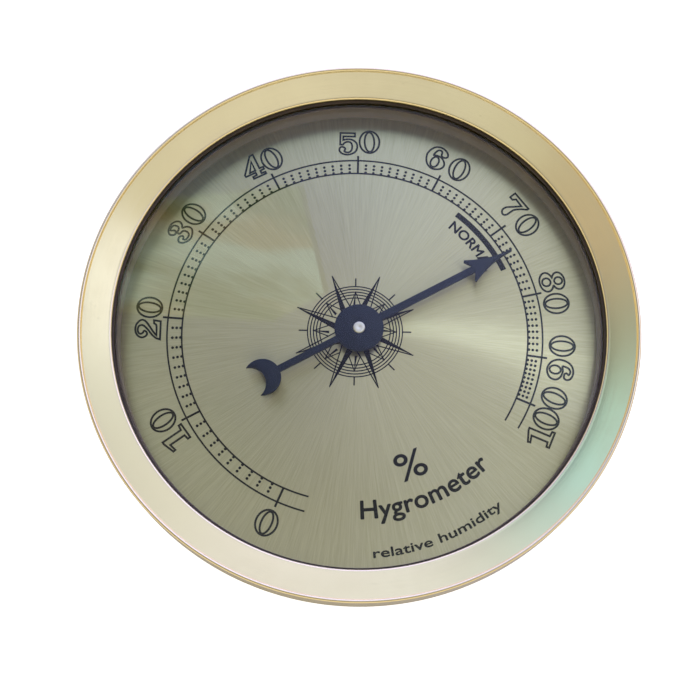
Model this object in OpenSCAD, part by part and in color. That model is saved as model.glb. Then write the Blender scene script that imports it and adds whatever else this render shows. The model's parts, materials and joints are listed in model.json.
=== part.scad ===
// Dial hygrometer for a round hole in a panel or a box lid.
// A humidity-sensitive spiral coil turns a spindle and its pointer over a printed dial.
//
// Frame: the dial faces +Z and its upright is +Y. The origin is on the spindle's axis, in the
// plane where the bezel's rear edge seats on a panel, so the case body lies below Z = 0.
// All lengths are in millimetres and all angles in degrees.

/* [Bezel] */
// Outside diameter of the bezel
bezel_d = 50.8; // [49:0.2:54]
// Width of the bezel's front, from its outer side to its inner edge
bezel_w = 2.95; // [2.4:0.05:3.2]
// Height of the bezel's inner edge above the panel
bezel_lip_h = 2.15; // [2.1:0.05:2.4]
// Height of the bezel's outer rim above the panel
bezel_rim_h = 3.0; // [2.8:0.05:3.3]
// Thickness of the bezel's sheet metal
bezel_sheet = 0.4; // [0.3:0.05:0.4]
// Width of the rounded bead along the bezel's outer rim
bead_w = 0.36; // [0.3:0.02:0.6]

/* [Case] */
// Outside diameter of the case body, which passes through the panel
case_d = 45.6; // [45:0.1:46]
// Depth of the case body behind the panel's face
case_depth = 9.5; // [9.3:0.1:12]
// Thickness of the case's sheet metal
case_sheet = 0.4; // [0.3:0.05:0.45]
// Width of the case's flange that is turned in at the rear
rear_flange_w = 2.5; // [2:0.1:3]

/* [Lens and dial] */
// Thickness of the lens
lens_t = 0.7; // [0.6:0.05:0.7]
// Thickness of the gasket between the lens and the bezel
gasket_t = 0.3; // [0.2:0.05:0.3]
// Depth of the dial's face below the panel's face
dial_depth = 1.15; // [1.1:0.05:1.5]
// Thickness of the dial
dial_t = 0.4; // [0.3:0.05:0.5]

/* [Pointer] */
// Angle of the pointer, clockwise from the dial's upright
pointer_angle = 83.2; // [-135:0.1:135]
// Length from the spindle's axis to the pointer's tip
pointer_l = 16.4; // [15:0.1:17.5]
// Thickness of the pointer
pointer_t = 0.35; // [0.2:0.05:0.4]
// Radius of the pointer's hub
hub_r = 2.28; // [1.9:0.02:2.6]
// Distance from the spindle's axis to the middle of the counterweight
tail_l = 10.05; // [9:0.05:12]

/* [Movement] */
// Diameter of the spindle
spindle_d = 1.1; // [1:0.05:1.2]
// Radial running clearance of the spindle in its bushes
running_gap = 0.03; // [0.02:0.01:0.06]
// Radius of the circle that the pillars stand on
pillar_circle_r = 17; // [16:0.5:18]
// Number of pillars
pillar_count = 3; // [3:1:4]
// Number of vent slots in the rear cover
vent_count = 12; // [8:1:16]
// Number of turns of the coil
coil_turns = 6; // [4:1:8]
// Thickness of the coil's strip
coil_t = 0.16; // [0.12:0.02:0.24]
// Width of the coil's strip, along the spindle
coil_h = 3.2; // [2.6:0.1:3.4]
// Radius of the coil's outermost turn
coil_r = 7; // [6.5:0.1:7.5]

/* [Hidden] */
$fn = 96;
eps = 0.01;

// Bezel and case
bezel_r = bezel_d / 2;
sight_r = bezel_r - bezel_w;
case_r = case_d / 2;
case_bore_r = case_r - case_sheet;
bend_r = 0.35;
brim_r = bezel_r - bezel_sheet - 0.3;
brim_z = bend_r;
lens_z = brim_z + case_sheet;
lens_r = brim_r;
gasket_z = lens_z + lens_t;
gasket_in_r = sight_r - 0.3;
crimp_in_r = case_r + bend_r + 0.1;

// Stack behind the lens
dial_z = -dial_depth;
plate_t = 0.6;
plate_z = dial_z - dial_t - plate_t;
cover_t = 0.6;
cover_z = -case_depth + case_sheet;
stack_r = case_bore_r - 0.1;
pillar_z = cover_z + cover_t;
pillar_r = 1.5;
pillar_first_angle = 30;
dial_foot_circle_r = 12.5;
screw_shank_r = 0.7;
screw_head_r = 1.35;
screw_head_h = 0.5;
screw_head_land = 0.06;

// Adjuster, in a dished recess of the rear cover
dish_r = 5.8;
dish_rise = 0.9;
dish_z = cover_z + dish_rise;
head_r = 3;
head_t = 0.75;
neck_r = 1.95;
stake_r = 1.45;
washer_t = 0.3;
arm_t = 0.5;
washer_z = dish_z + cover_t;
arm_z = washer_z + washer_t + 0.02;
bush_r = 1;
bush_top_z = arm_z + arm_t + 0.25;

// Spindle and what it carries
spindle_r = spindle_d / 2;
bush_bore_r = spindle_r + running_gap;
spindle_low_z = dish_z + 0.1;
spindle_top_z = 0.12;
pointer_z = -pointer_t;
coil_z = bush_top_z + 0.3;
collet_r = 1.5;
coil_in_r = collet_r + 0.05 + coil_t / 2;
coil_pitch = (coil_r - coil_in_r) / coil_turns;
coil_steps = 24;
tab_angle = 10;

// A body of revolution about the spindle's axis, from [radius, height] points
module turned(points) {
    rotate_extrude() polygon(points);
}

// A flat ring between two heights
module ring(r_out, r_in, z_low, z_high) {
    translate([0, 0, z_low])
        difference() {
            cylinder(r = r_out, h = z_high - z_low);
            translate([0, 0, -eps]) cylinder(r = r_in, h = z_high - z_low + 2 * eps);
        }
}

// A plain round bar between two heights
module bar(r, z_low, z_high) {
    translate([0, 0, z_low]) cylinder(r = r, h = z_high - z_low);
}

// Copies of the children, evenly spaced around the spindle's axis
module around(count, first = 0) {
    for (k = [0 : count - 1]) rotate([0, 0, first + 360 * k / count]) children();
}

// Copies of the children at the pillars' places
module at_pillars() {
    around(pillar_count, pillar_first_angle) translate([pillar_circle_r, 0, 0]) children();
}

// A wedge about the spindle's axis, open to +X, for cutting a window
module wedge(angle, h) {
    reach = bezel_r;
    linear_extrude(h)
        polygon([[0, 0], [reach, -reach * tan(angle / 2)], [reach, reach * tan(angle / 2)]]);
}

// Points of an arc in a plane, from one angle to another
function arc(cx, cy, r, a0, a1, n = 10) =
    [for (k = [0 : n]) [cx + r * cos(a0 + (a1 - a0) * k / n), cy + r * sin(a0 + (a1 - a0) * k / n)]];

// Radius of the coil's strip at an angle from its inner end
function coil_radius(a) = coil_in_r + coil_pitch * a / 360;

// Spun bezel: a face that slopes down to the lens, a bead, a skirt and an edge crimped in at the rear
module bezel() {
    skirt_in_r = bezel_r - bezel_sheet;
    bead_r = bead_w / 2;
    bead_x = bezel_r - bead_r;
    bead_z = bezel_rim_h - bead_r;
    groove_z = bezel_rim_h - 0.28;
    lip_low = bezel_lip_h - bezel_sheet;
    edge_r = bezel_sheet / 2;
    color([0.86, 0.78, 0.56])
        turned(concat(
            arc(bezel_r - 0.2, 0.2, 0.2, -90, 0, 5),
            arc(bead_x, bead_z, bead_r, 0, 160),
            [[bead_x - bead_r - 0.05, groove_z]],
            arc(sight_r + edge_r, lip_low + edge_r, edge_r, 90, 270),
            [[skirt_in_r, lip_low], [skirt_in_r, bend_r], [crimp_in_r, bend_r], [crimp_in_r, 0]]));
}

// Black gasket that shows as a thin line inside the bezel
module lens_gasket() {
    color([0.05, 0.05, 0.05])
        ring(lens_r, gasket_in_r, gasket_z, bezel_lip_h - bezel_sheet);
}

// Flat lens, resting on the case's brim
module lens() {
    color([0.85, 0.92, 0.92, 0.3])
        bar(lens_r, lens_z, gasket_z);
}

// Wall between the lens and the dial
module spacer_ring() {
    color([0.27, 0.24, 0.22])
        ring(case_bore_r - 0.05, gasket_in_r, dial_z, lens_z);
}

// Brushed dial with a centre hole and two holes for its feet
module dial_plate() {
    color([0.71, 0.69, 0.57])
        difference() {
            ring(stack_r, 1.9, dial_z - dial_t, dial_z);
            dial_foot_places() bar(0.5, dial_z - dial_t - eps, dial_z - dial_t + 0.25);
        }
}

// Copies of the children at the two dial feet, each in line with a pillar
module dial_foot_places() {
    for (k = [0, 1])
        rotate([0, 0, pillar_first_angle + 360 * k / pillar_count])
            translate([dial_foot_circle_r, 0, 0]) children();
}

// Two pins that hold the dial on the movement plate
module dial_feet() {
    color([0.75, 0.6, 0.35])
        dial_foot_places() {
            bar(0.48, plate_z - 0.5, dial_z - dial_t + 0.25);
            translate([0, 0, plate_z - 0.5]) cylinder(r1 = 0.4, r2 = 0.8, h = 0.45);
        }
}

// Plate under the dial that carries the front bush, cut out to let air through
module movement_plate() {
    window_half_angle = 99 / pillar_count;
    color([0.78, 0.68, 0.42])
        difference() {
            ring(stack_r, 1.6, plate_z, plate_z + plate_t);
            dial_foot_places() bar(0.55, plate_z - eps, plate_z + plate_t + eps);
            at_pillars() screw_hole(plate_z, plate_z + plate_t, 1);
            around(pillar_count, pillar_first_angle + 180 / pillar_count)
                intersection() {
                    ring(stack_r - 3, 8.5, plate_z - eps, plate_z + plate_t + eps);
                    translate([0, 0, plate_z - 1]) wedge(2 * window_half_angle, plate_t + 2);
                }
        }
}

// Hole for a countersunk screw whose head lies at the top (way = 1) or at the bottom (way = -1)
module screw_hole(z_low, z_high, way) {
    free_shank_r = screw_shank_r + 0.05;
    free_head_r = screw_head_r + 0.05;
    bar(free_shank_r, z_low - eps, z_high + eps);
    translate([0, 0, way > 0 ? z_high : z_low])
        mirror([0, 0, way > 0 ? 0 : 1]) {
            translate([0, 0, -screw_head_h])
                cylinder(r1 = free_shank_r, r2 = free_head_r, h = screw_head_h - screw_head_land);
            bar(free_head_r, -screw_head_land - eps, eps);
        }
}

// Slotted countersunk screw, head up at the origin and shank down
module slotted_screw(length) {
    difference() {
        union() {
            translate([0, 0, -screw_head_h])
                cylinder(r1 = screw_shank_r, r2 = screw_head_r, h = screw_head_h - screw_head_land);
            bar(screw_head_r, -screw_head_land - eps, 0);
            bar(screw_shank_r, -length, -screw_head_h + eps);
        }
        translate([-2, -0.15, -0.28]) cube([4, 0.3, 0.4]);
    }
}

// Flanged bearing bush, staked in the movement plate
module front_bush() {
    color([0.85, 0.66, 0.3])
        difference() {
            union() {
                bar(2.3, plate_z - 0.5, plate_z);
                bar(1.58, plate_z - 0.5, dial_z + 0.12);
            }
            bar(bush_bore_r, plate_z - 1, dial_z + 1);
        }
}

// Screws that hold the movement plate on the pillars, under the dial
module plate_screws() {
    color([0.6, 0.6, 0.6])
        at_pillars() translate([0, 0, plate_z + plate_t]) slotted_screw(2.4);
}

// Three pillars between the rear cover and the movement plate, tapped at both ends
module movement_pillars() {
    color([0.8, 0.66, 0.36])
        at_pillars()
            difference() {
                bar(pillar_r, pillar_z, plate_z);
                bar(screw_shank_r, pillar_z - eps, pillar_z + 2.2);
                bar(screw_shank_r, plate_z - 2.2, plate_z + eps);
            }
}

// Vented rear cover, dished in the middle so that the adjuster stays behind the rear flange
module rear_cover() {
    slot_in_r = 8;
    slot_out_r = 14.6;
    slot_w = 1.4;
    color([0.8, 0.7, 0.45])
        difference() {
            turned([
                [neck_r + 0.05, dish_z], [dish_r - 0.1, dish_z], [dish_r + 0.8, cover_z],
                [stack_r, cover_z], [stack_r, cover_z + cover_t],
                [dish_r + 1, cover_z + cover_t], [dish_r + 0.1, washer_z],
                [neck_r + 0.05, washer_z]]);
            around(vent_count, 15)
                for (r = [slot_in_r, slot_out_r])
                    translate([r, 0, 0]) bar(slot_w / 2, cover_z - 1, cover_z + cover_t + 1);
            around(vent_count, 15)
                translate([slot_in_r, -slot_w / 2, cover_z - 1])
                    cube([slot_out_r - slot_in_r, slot_w, cover_t + 2]);
            at_pillars() screw_hole(cover_z, cover_z + cover_t, -1);
        }
}

// Screws that hold the rear cover on the pillars
module cover_screws() {
    color([0.7, 0.7, 0.7])
        at_pillars() translate([0, 0, cover_z]) rotate([180, 0, 0]) slotted_screw(2.4);
}

// Drawn case: a brim under the lens, a straight body and a flange turned in at the rear
module case_body() {
    rear = -case_depth;
    in_r = case_r - rear_flange_w;
    color([0.82, 0.72, 0.48])
        turned(concat(
            [[in_r, rear]],
            arc(case_r - bend_r, rear + bend_r, bend_r, -90, 0, 6),
            arc(case_r + bend_r, 0, bend_r, 180, 90, 6),
            [[brim_r, brim_z], [brim_r, lens_z], [case_bore_r, lens_z],
             [case_bore_r, rear + case_sheet], [in_r, rear + case_sheet]]));
}

// Spring washer that gives the adjuster its friction
module friction_washer() {
    color([0.7, 0.7, 0.72])
        turned([[neck_r + 0.12, washer_z + 0.12], [4.1, washer_z], [4.2, washer_z + 0.16],
                [neck_r + 0.16, washer_z + 0.28]]);
}

// Slotted screw at the rear that turns the coil's anchor to set the reading
module adjuster_screw() {
    color([0.86, 0.72, 0.4])
        difference() {
            union() {
                translate([0, 0, dish_z - head_t]) cylinder(r1 = head_r - 0.15, r2 = head_r, h = 0.15);
                bar(head_r, dish_z - head_t + 0.15, dish_z - 0.03);
                bar(neck_r, dish_z - head_t + 0.2, arm_z);
                bar(stake_r, arm_z - eps, arm_z + arm_t);
                bar(stake_r + 0.25, arm_z + arm_t, arm_z + arm_t + 0.2);
            }
            bar(bush_r, dish_z - 0.15, bush_top_z);
            translate([-head_r - 1, -0.4, dish_z - head_t - 1]) cube([2 * head_r + 2, 0.8, 1.4]);
        }
}

// Bearing bush with a closed rear end, pressed into the adjuster
module rear_bush() {
    color([0.85, 0.66, 0.3])
        difference() {
            bar(bush_r, dish_z - 0.15, bush_top_z);
            bar(bush_bore_r, dish_z + 0.05, bush_top_z + 1);
        }
}

// Arm on the adjuster with a tab turned up at its end, where the coil is riveted
module anchor_arm() {
    tab_x = coil_r + coil_t / 2 + 0.02;
    color([0.72, 0.72, 0.72])
        rotate([0, 0, tab_angle])
            difference() {
                union() {
                    bar(2.9, arm_z, arm_z + arm_t);
                    translate([0, -1.25, arm_z]) cube([tab_x + arm_t, 2.5, arm_t]);
                    translate([tab_x, -1.25, arm_z]) cube([arm_t, 2.5, coil_z + coil_h - arm_z]);
                }
                bar(stake_r, arm_z - 1, arm_z + 1);
                rivet_places() translate([-1, 0, 0]) rotate([0, 90, 0]) cylinder(r = 0.26, h = 3);
            }
}

// Copies of the children at the two rivets through the coil's outer end
module rivet_places() {
    for (k = [0.28, 0.72])
        translate([coil_r, 0, coil_z + coil_h * k]) children();
}

// Two rivets that fasten the coil's outer end on the arm's tab
module coil_rivets() {
    color([0.8, 0.64, 0.4])
        rotate([0, 0, tab_angle])
            rivet_places() {
                translate([-0.25, 0, 0]) rotate([0, 90, 0]) cylinder(r = 0.25, h = 1);
                translate([-0.33, 0, 0]) rotate([0, 90, 0]) cylinder(r = 0.45, h = 0.2);
                translate([0.61, 0, 0]) rotate([0, 90, 0]) cylinder(r = 0.45, h = 0.22);
            }
}

// Spiral strip that winds and unwinds with humidity, free at the collet and riveted at the tab
module hygro_coil() {
    last = coil_turns * coil_steps;
    over = 1;
    function side(k, offset) =
        let (a = k * 360 / coil_steps, r = min(coil_radius(a), coil_r) + offset)
            [r * cos(a), r * sin(a)];
    color([0.72, 0.45, 0.3])
        rotate([0, 0, tab_angle])
            difference() {
                translate([0, 0, coil_z])
                    linear_extrude(coil_h)
                        polygon(concat(
                            [for (k = [0 : last + over]) side(k, -coil_t / 2)],
                            [for (k = [last + over : -1 : 0]) side(k, coil_t / 2)]));
                rivet_places() translate([-0.5, 0, 0]) rotate([0, 90, 0]) cylinder(r = 0.26, h = 1);
            }
}

// Spindle, running in the two bushes
module spindle() {
    color([0.85, 0.83, 0.76])
        union() {
            bar(spindle_r, spindle_low_z, spindle_top_z - 0.1);
            translate([0, 0, spindle_top_z - 0.1])
                cylinder(r1 = spindle_r, r2 = spindle_r - 0.1, h = 0.1);
        }
}

// Collet pressed on the spindle, which the coil's inner end turns
module coil_collet() {
    color([0.85, 0.68, 0.35])
        difference() {
            bar(collet_r, coil_z - 0.15, coil_z + coil_h + 0.15);
            bar(spindle_r, coil_z - 1, coil_z + coil_h + 1);
        }
}

// Collet pressed on the spindle under the pointer
module pointer_collet() {
    color([0.85, 0.68, 0.35])
        difference() {
            bar(1.2, dial_z + 0.2, pointer_z);
            bar(spindle_r, dial_z - 1, pointer_z + 1);
        }
}

// Outline of the pointer, from the spindle's axis along +Y: a shaft with an arrowhead
module pointer_outline() {
    shaft_half = 0.33;
    barb_y = pointer_l - 4.65;
    barb_x = 1.2;
    notch_y = pointer_l - 4.15;
    tip_half = 0.11;
    head_n = 12;
    // Half width of the head between the barbs and the tip, on a curve that ends in a needle
    function head_half(t) = tip_half + (barb_x - tip_half) * pow(1 - t, 2.1);
    right_side = [for (k = [0 : head_n])
        let (t = k / head_n) [head_half(t), barb_y + 0.12 + (pointer_l - barb_y - 0.2) * t]];
    left_side = [for (k = [head_n : -1 : 0]) [-right_side[k][0], right_side[k][1]]];
    polygon(concat(
        [[shaft_half + 0.02, 0], [shaft_half, notch_y], [barb_x - 0.16, barb_y]],
        right_side,
        [[0, pointer_l]],
        left_side,
        [[-barb_x + 0.16, barb_y], [-shaft_half, notch_y], [-shaft_half - 0.02, 0]]));
}

// Outline of the tail: a shaft with a crescent counterweight that opens outwards
module tail_outline() {
    translate([-0.32, -tail_l + 1]) square([0.64, tail_l - 1]);
    difference() {
        translate([0, -tail_l]) circle(r = 1.73);
        translate([0, -tail_l - 1.33]) circle(r = 1.53);
    }
}

// Black pointer with its hub and counterweight, pressed on the spindle
module pointer() {
    color([0.13, 0.15, 0.2])
        rotate([0, 0, -pointer_angle])
            translate([0, 0, pointer_z])
                difference() {
                    linear_extrude(pointer_t)
                        union() {
                            circle(r = hub_r);
                            pointer_outline();
                            tail_outline();
                        }
                    bar(spindle_r, -1, pointer_t + 1);
                }
}

bezel();
lens_gasket();
lens();
spacer_ring();
dial_plate();
dial_feet();
movement_plate();
front_bush();
plate_screws();
movement_pillars();
rear_cover();
cover_screws();
case_body();
friction_washer();
adjuster_screw();
rear_bush();
anchor_arm();
coil_rivets();
hygro_coil();
spindle();
coil_collet();
pointer_collet();
pointer();
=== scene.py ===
"""Looks of a dial hygrometer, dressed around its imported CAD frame.

Sizes are in millimetres in the classes and become metres where a mesh is made.
"""

from __future__ import annotations

import json
import logging
import math
from collections import Counter
from contextlib import contextmanager
from dataclasses import dataclass, field
from enum import Enum
from typing import Any, Iterator, Sequence

import bmesh
import bpy
from mathutils import Euler, Matrix, Vector

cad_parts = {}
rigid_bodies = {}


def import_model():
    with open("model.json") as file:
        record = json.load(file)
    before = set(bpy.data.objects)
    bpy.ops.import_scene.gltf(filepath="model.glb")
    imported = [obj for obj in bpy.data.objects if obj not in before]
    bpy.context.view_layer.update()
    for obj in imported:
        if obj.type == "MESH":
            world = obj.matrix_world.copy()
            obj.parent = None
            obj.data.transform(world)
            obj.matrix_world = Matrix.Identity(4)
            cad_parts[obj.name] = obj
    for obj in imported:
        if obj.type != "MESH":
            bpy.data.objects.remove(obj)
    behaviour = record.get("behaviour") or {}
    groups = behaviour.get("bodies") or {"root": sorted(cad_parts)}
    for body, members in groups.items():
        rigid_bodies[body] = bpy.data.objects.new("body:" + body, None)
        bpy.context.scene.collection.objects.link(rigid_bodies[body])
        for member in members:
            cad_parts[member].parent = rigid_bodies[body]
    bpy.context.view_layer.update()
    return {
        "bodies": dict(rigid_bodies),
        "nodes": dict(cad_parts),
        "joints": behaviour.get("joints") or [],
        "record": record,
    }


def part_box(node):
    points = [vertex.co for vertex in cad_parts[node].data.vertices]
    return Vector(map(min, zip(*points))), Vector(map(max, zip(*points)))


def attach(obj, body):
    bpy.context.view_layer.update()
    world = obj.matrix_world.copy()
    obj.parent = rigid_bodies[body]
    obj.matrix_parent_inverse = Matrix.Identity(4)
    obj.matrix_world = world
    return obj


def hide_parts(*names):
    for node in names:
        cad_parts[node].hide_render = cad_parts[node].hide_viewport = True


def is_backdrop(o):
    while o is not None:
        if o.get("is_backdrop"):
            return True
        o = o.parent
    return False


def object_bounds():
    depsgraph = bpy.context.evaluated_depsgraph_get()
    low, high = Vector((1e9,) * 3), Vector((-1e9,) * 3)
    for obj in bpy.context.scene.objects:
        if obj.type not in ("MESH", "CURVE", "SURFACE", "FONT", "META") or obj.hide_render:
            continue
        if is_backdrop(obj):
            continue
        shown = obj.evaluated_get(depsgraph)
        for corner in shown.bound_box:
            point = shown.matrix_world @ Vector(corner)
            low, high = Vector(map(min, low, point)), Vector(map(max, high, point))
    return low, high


MM = 0.001
INK = 0.012
FULL_TURN = 2 * math.pi
LOG = logging.getLogger("hygrometer")
FRAME: dict[str, Any] = {}

Point = tuple[float, float]
Place = tuple[float, float, float]
Colour = tuple[float, float, float]


class Body(Enum):
    """The rigid bodies a piece can ride on."""

    CASE = "case"
    ADJUSTER = "adjuster"
    SPINDLE = "spindle"


# ---------------------------------------------------------------- node graphs


class Signal:
    """A node's output socket that can be used in arithmetic."""

    def __init__(self, graph: Graph, socket: bpy.types.NodeSocket) -> None:
        """Keeps the socket and the graph that new Math nodes go into."""
        self.graph = graph
        self.socket = socket

    def maths(self, operation: str, *others: Any) -> Signal:
        """Adds one Math node.

        Args:
            operation: the Math node's operation.
            others: further operands, signals or numbers.

        Returns:
            The node's result.
        """
        operands = dict(enumerate((self, *others)))
        return self.graph.node("ShaderNodeMath", {"operation": operation}, operands)

    def __add__(self, other: Any) -> Signal:
        """Sum."""
        return self.maths("ADD", other)

    __radd__ = __add__

    def __sub__(self, other: Any) -> Signal:
        """Difference."""
        return self.maths("SUBTRACT", other)

    def __mul__(self, other: Any) -> Signal:
        """Product."""
        return self.maths("MULTIPLY", other)

    __rmul__ = __mul__

    def __truediv__(self, other: Any) -> Signal:
        """Quotient."""
        return self.maths("DIVIDE", other)

    def __pow__(self, other: Any) -> Signal:
        """Power."""
        return self.maths("POWER", other)

    def ease(self, low: float, high: float) -> Signal:
        """Goes smoothly from 0 at low to 1 at high."""
        return self.graph.node(
            "ShaderNodeMapRange",
            {"interpolation_type": "SMOOTHSTEP"},
            {"Value": self, "From Min": low, "From Max": high},
        )


class Graph:
    """A node tree that is filled from Python."""

    def __init__(self, tree: bpy.types.NodeTree) -> None:
        """Keeps the tree."""
        self.tree = tree

    def node(
        self,
        kind: str,
        settings: dict[str, Any] | None = None,
        values: dict[Any, Any] | None = None,
        output: Any = 0,
    ) -> Signal:
        """Adds a node.

        Args:
            kind: the node's type.
            settings: attributes set before the sockets; "stops" fills a colour ramp.
            values: values or signals by socket name or number.
            output: name or number of the wanted output.

        Returns:
            The wanted output.
        """
        made = self.tree.nodes.new(kind)
        for key, value in (settings or {}).items():
            if key == "stops":
                ramp = made.color_ramp
                while len(ramp.elements) < len(value):
                    ramp.elements.new(1.0)
                for element, (place, colour) in zip(ramp.elements, value):
                    element.position = place
                    element.color = (*colour, 1.0)
            else:
                setattr(made, key, value)
        for key, value in (values or {}).items():
            self.feed(made.inputs[key], value)
        return Signal(self, made.outputs[output] if len(made.outputs) else made.inputs[0])

    def feed(self, socket: bpy.types.NodeSocket, value: Any) -> None:
        """Links a signal to a socket, or sets the socket's own value."""
        if isinstance(value, Signal):
            self.tree.links.new(value.socket, socket)
        elif isinstance(value, tuple) and len(value) == 3 and socket.type == "RGBA":
            socket.default_value = (*value, 1.0)
        else:
            socket.default_value = value

    def mix(self, share: Any, first: Any, second: Any) -> Signal:
        """Mixes two colours.

        Args:
            share: how much of the second, a number or a signal.
            first: the first colour.
            second: the second colour.

        Returns:
            The mixed colour.
        """
        made = self.tree.nodes.new("ShaderNodeMix")
        made.data_type = "RGBA"
        for number, value in ((0, share), (6, first), (7, second)):
            self.feed(made.inputs[number], value)
        return Signal(self, made.outputs[2])

    def spot(self) -> Signal:
        """Returns the place on the object as a vector in metres."""
        return self.node("ShaderNodeTexCoord", output="Object")

    def axes(self, vector: Signal) -> list[Signal]:
        """Splits a vector into x, y and z."""
        split = self.node("ShaderNodeSeparateXYZ", {}, {0: vector})
        return [Signal(self, socket) for socket in split.socket.node.outputs]

    def place(self) -> list[Signal]:
        """Returns the place on the object as x, y and z in millimetres."""
        return [part * (1 / MM) for part in self.axes(self.spot())]

    def joined(self, x: Any, y: Any, z: Any) -> Signal:
        """Makes a vector of three numbers."""
        return self.node("ShaderNodeCombineXYZ", {}, {0: x, 1: y, 2: z})

    def noise(self, vector: Signal, scale: float, detail: float = 2.0, rough: float = 0.5) -> Signal:
        """Returns a noise between 0 and 1 at a vector."""
        return self.node(
            "ShaderNodeTexNoise", {}, {"Vector": vector, "Scale": scale, "Detail": detail, "Roughness": rough}
        )

    def bump(self, height: Signal, depth: float) -> Signal:
        """Turns a height between 0 and 1 into a normal, with a depth in millimetres."""
        return self.node("ShaderNodeBump", {}, {"Height": height, "Distance": depth * MM, "Strength": 1.0})


def blank(holder: bpy.types.Material | bpy.types.World) -> Graph:
    """Empties the node tree of a material or a world and returns it."""
    holder.use_nodes = True
    holder.node_tree.nodes.clear()
    return Graph(holder.node_tree)


# ------------------------------------------------------------------- finishes


@dataclass(frozen=True)
class Finish:
    """A surface finish; a subclass adds the pattern."""

    name: str
    slot: str
    base: Colour
    roughness: float = 0.3
    metallic: float = 1.0

    def material(self) -> bpy.types.Material:
        """Returns the finish's material, made once."""
        found = bpy.data.materials.get(self.name)
        if found is not None:
            return found
        material = bpy.data.materials.new(self.name)
        material.diffuse_color = (*self.base, 1.0)
        graph = blank(material)
        shader = graph.node("ShaderNodeBsdfPrincipled", {}, {
            "Base Color": self.base, "Roughness": self.roughness, "Metallic": self.metallic})
        graph.node("ShaderNodeOutputMaterial", {}, {"Surface": self.dress(graph, shader)})
        return material

    def dress(self, graph: Graph, shader: Signal) -> Signal:
        """Adds the pattern to the shader.

        Args:
            graph: the material's graph.
            shader: its Principled shader.

        Returns:
            The shader for the surface.
        """
        return shader

    @staticmethod
    def set(shader: Signal, **values: Any) -> None:
        """Sets a shader's sockets; an underscore in a name stands for a blank."""
        node = shader.socket.node
        for key, value in values.items():
            shader.graph.feed(node.inputs[key.replace("_", " ")], value)


@dataclass(frozen=True)
class TurnedMetal(Finish):
    """Lathe-turned or spun metal with fine rings and a little tarnish."""

    shade: Colour = (0.5, 0.4, 0.25)
    rings_per_mm: float = 9.0
    depth: float = 0.0006
    patina: float = 0.25

    def dress(self, graph: Graph, shader: Signal) -> Signal:
        """Rings about the spindle's axis, soft cloudy tarnish, roughness from both."""
        vector = graph.spot()
        x, y, z = graph.place()
        radius = (x * x + y * y) ** 0.5
        rings = graph.noise(graph.joined(radius, z, (x + y) * 0.01), self.rings_per_mm, 3.0, 0.65)
        cloud = graph.noise(vector, 140.0, 4.0, 0.6)
        specks = graph.noise(vector, 2600.0, 2.0, 0.5).ease(0.66, 0.78)
        worn = cloud.ease(0.35, 0.75) * self.patina + specks * self.patina * 0.3
        self.set(
            shader,
            Base_Color=graph.mix(worn, self.base, self.shade),
            Roughness=(self.roughness + (rings - 0.5) * 0.10 + (cloud - 0.5) * 0.12
                       + specks * self.patina * 0.4),
            Normal=graph.bump(rings, self.depth),
        )
        return shader


@dataclass(frozen=True)
class SunrayMetal(Finish):
    """Metal brushed outwards from its centre, so that light gathers into rays."""

    shade: Colour = (0.5, 0.4, 0.25)
    depth: float = 0.0013

    def dress(self, graph: Graph, shader: Signal) -> Signal:
        """Streaks at fixed angles in three finenesses, broken along the radius."""
        x, y, _ = graph.place()
        radius = (x * x + y * y) ** 0.5 + 0.01
        across, along = x / radius, y / radius

        def rays(count: float, broken: float, detail: float, rough: float) -> Signal:
            """Noise with a number of streaks around, broken so often in a millimetre."""
            return graph.noise(
                graph.joined(across * count, along * count, radius * broken), 1.0, detail, rough)

        fine, broad, hair = rays(130, 0.22, 3.0, 0.7), rays(11, 0.05, 2.0, 0.5), rays(340, 0.5, 1.0, 0.5)
        streak = fine * 0.55 + hair * 0.3 + broad * 0.15
        self.set(
            shader,
            Base_Color=graph.mix(streak.ease(0.30, 0.70), self.shade, self.base),
            Roughness=self.roughness + (fine - 0.5) * 0.22 + (broad - 0.5) * 0.1,
            Normal=graph.bump(streak, self.depth),
            Anisotropic=0.95,
        )
        return shader


@dataclass(frozen=True)
class PlainMetal(Finish):
    """Machined, stamped or plated metal with a fine grain and small stains."""

    shade: Colour = (0.3, 0.3, 0.3)
    grain: float = 900.0
    depth: float = 0.0008

    def dress(self, graph: Graph, shader: Signal) -> Signal:
        """Grain in one direction, cloudy stains."""
        vector = graph.spot()
        x, y, z = graph.place()
        grain = graph.noise(graph.joined(x * 0.15, y * 3.0, z), self.grain * MM * 10, 3.0, 0.6)
        cloud = graph.noise(vector, 420.0, 3.0, 0.6)
        self.set(
            shader,
            Base_Color=graph.mix(cloud.ease(0.4, 0.8) * 0.4 + (grain - 0.5) * 0.2, self.base, self.shade),
            Roughness=self.roughness + (cloud - 0.5) * 0.25 + (grain - 0.5) * 0.12,
            Normal=graph.bump(grain, self.depth),
        )
        return shader


@dataclass(frozen=True)
class Lacquer(Finish):
    """Smooth paint, ink or rubber with a few dust specks."""

    shade: Colour = (0.02, 0.02, 0.02)
    sheen: float = 0.5
    grain: float = 1800.0
    depth: float = 0.0015

    def dress(self, graph: Graph, shader: Signal) -> Signal:
        """Orange-peel bump, faint colour clouds and dust specks."""
        vector = graph.spot()
        peel = graph.noise(vector, self.grain, 2.0, 0.5)
        cloud = graph.noise(vector, 500.0, 3.0, 0.6)
        dust = graph.noise(vector, 5200.0, 1.0, 0.5).ease(0.7, 0.78)
        self.set(
            shader,
            Base_Color=graph.mix(cloud.ease(0.3, 0.7) * 0.6 + dust * 0.3, self.base, self.shade),
            Roughness=self.roughness + (cloud - 0.5) * 0.15 + dust * 0.2,
            Normal=graph.bump(peel, self.depth),
            Specular_IOR_Level=self.sheen,
        )
        return shader


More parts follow.
